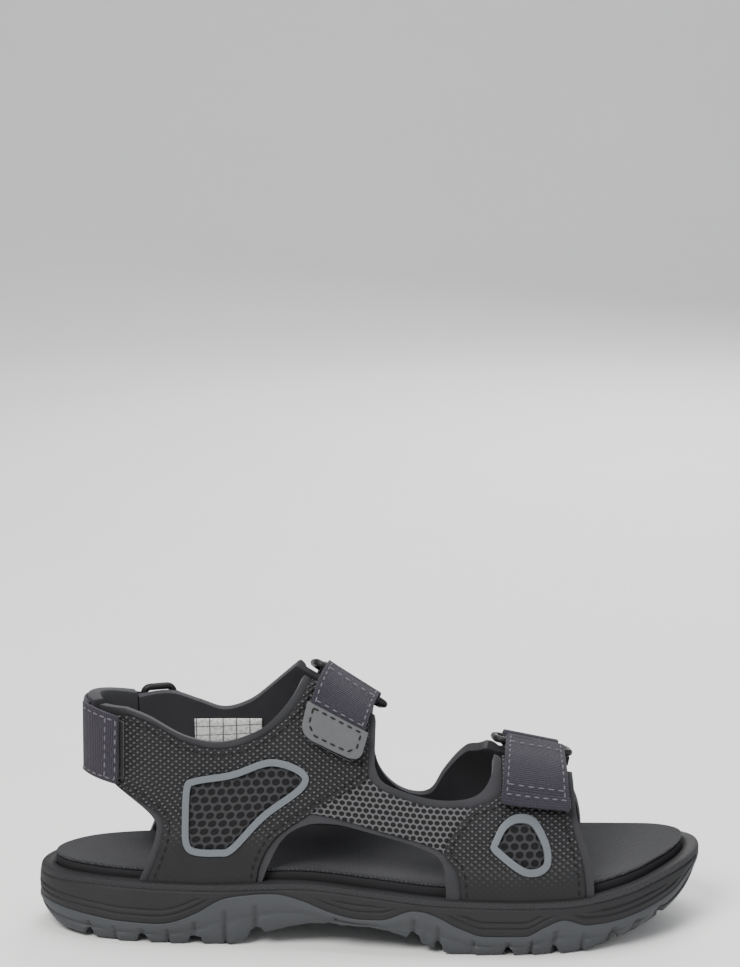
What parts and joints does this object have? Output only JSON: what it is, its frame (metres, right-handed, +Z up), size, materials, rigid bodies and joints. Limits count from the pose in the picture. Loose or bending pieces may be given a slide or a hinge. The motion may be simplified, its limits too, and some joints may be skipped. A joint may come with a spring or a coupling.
{
  "type": "strappy sport sandal",
  "caption": "Open-toe trekking sandal with a lugged sole, padded side panels and hook-and-loop straps over instep, forefoot and heel.",
  "frame": {"origin": "on the ground plane, under the centre of the object's bounding box", "axes": "+X to the toe, +Y to the inner side of the right foot, +Z up"},
  "size_m": [0.2948, 0.1048, 0.1196],
  "materials": {
    "rubber": "satin moulded rubber",
    "foam": "matte moulded EVA foam",
    "board": "matte fibre board",
    "footbed": "matte foam",
    "knit": "knitted top sheet",
    "lining": "smooth neoprene",
    "overlay": "embossed synthetic leather",
    "mesh": "open spacer mesh",
    "frame": "satin moulded TPU",
    "webbing": "woven webbing",
    "fastener": "hook and pile tape",
    "plastic": "semi-gloss acetal",
    "tab": "matte moulded rubber",
    "label": "printed satin tape"
  },
  "bodies": {
    "sandal_body": {"outsole": "rubber", "midsole": "foam", "arch_shank": "board", "footbed": "footbed", "footbed_cover": "knit", "size_label": "label", "lateral_lining": "lining", "lateral_rear_quarter": "overlay", "lateral_rear_window_frame": "frame", "lateral_rear_window_mesh": "mesh", "lateral_front_quarter": "overlay", "lateral_front_window_frame": "frame", "lateral_front_window_mesh": "mesh", "lateral_side_mesh": "mesh", "medial_lining": "lining", "medial_rear_quarter": "overlay", "medial_rear_window_frame": "frame", "medial_rear_window_mesh": "mesh", "medial_front_quarter": "overlay", "medial_front_window_frame": "frame", "medial_front_window_mesh": "mesh", "medial_side_mesh": "mesh", "instep_ring_keeper": "webbing", "instep_pile_patch": "fastener", "forefoot_ring_keeper": "webbing", "forefoot_pile_patch": "fastener", "heel_ring_keeper": "webbing", "heel_pile_patch": "fastener"},
    "instep_ring_body": {"instep_ring": "plastic"},
    "instep_flap_body": {"instep_flap": "webbing", "instep_pull_tab": "tab", "instep_hook_patch": "fastener"},
    "forefoot_ring_body": {"forefoot_ring": "plastic"},
    "forefoot_flap_body": {"forefoot_flap": "webbing", "forefoot_hook_patch": "fastener"},
    "heel_ring_body": {"heel_ring": "plastic"},
    "heel_strap_body": {"heel_pad": "lining", "heel_strap": "webbing"},
    "heel_flap_body": {"heel_strap_flap": "webbing", "heel_hook_patch": "fastener"}
  },
  "joints": [
    {"name": "instep_ring_swivel", "type": "hinge", "parent": "sandal_body", "child": "instep_ring_body", "pos_m": [-0.01063, 0.01339, 0.10468], "axis": [-0.8372, 0.0017, 0.5468], "range_deg": [0, 45]},
    {"name": "instep_flap_lift", "type": "hinge", "parent": "instep_ring_body", "child": "instep_flap_body", "pos_m": [-0.00806, -0.00026, 0.10865], "axis": [-0.8372, 0.0017, 0.5468], "range_deg": [0, 140]},
    {"name": "forefoot_ring_swivel", "type": "hinge", "parent": "sandal_body", "child": "forefoot_ring_body", "pos_m": [0.07147, 0.01496, 0.07707], "axis": [-0.9752, -0.053, 0.2148], "range_deg": [0, 45]},
    {"name": "forefoot_flap_lift", "type": "hinge", "parent": "forefoot_ring_body", "child": "forefoot_flap_body", "pos_m": [0.07257, 0.00228, 0.07897], "axis": [-0.9752, -0.053, 0.2148], "range_deg": [0, 140]},
    {"name": "heel_ring_swivel", "type": "hinge", "parent": "sandal_body", "child": "heel_ring_body", "pos_m": [-0.08843, 0.02647, 0.0828], "axis": [0, 0.1186, -0.9929], "range_deg": [0, 20]},
    {"name": "heel_strap_swing", "type": "hinge", "parent": "heel_ring_body", "child": "heel_strap_body", "pos_m": [-0.10139, 0.02373, 0.08248], "axis": [0, 0.1186, -0.9929], "range_deg": [0, 75]},
    {"name": "heel_flap_peel", "type": "hinge", "parent": "heel_strap_body", "child": "heel_flap_body", "pos_m": [-0.1254, -0.00775, 0.08718], "axis": [-0.0179, -0.0144, -0.9997], "range_deg": [0, 100]}
  ]
}
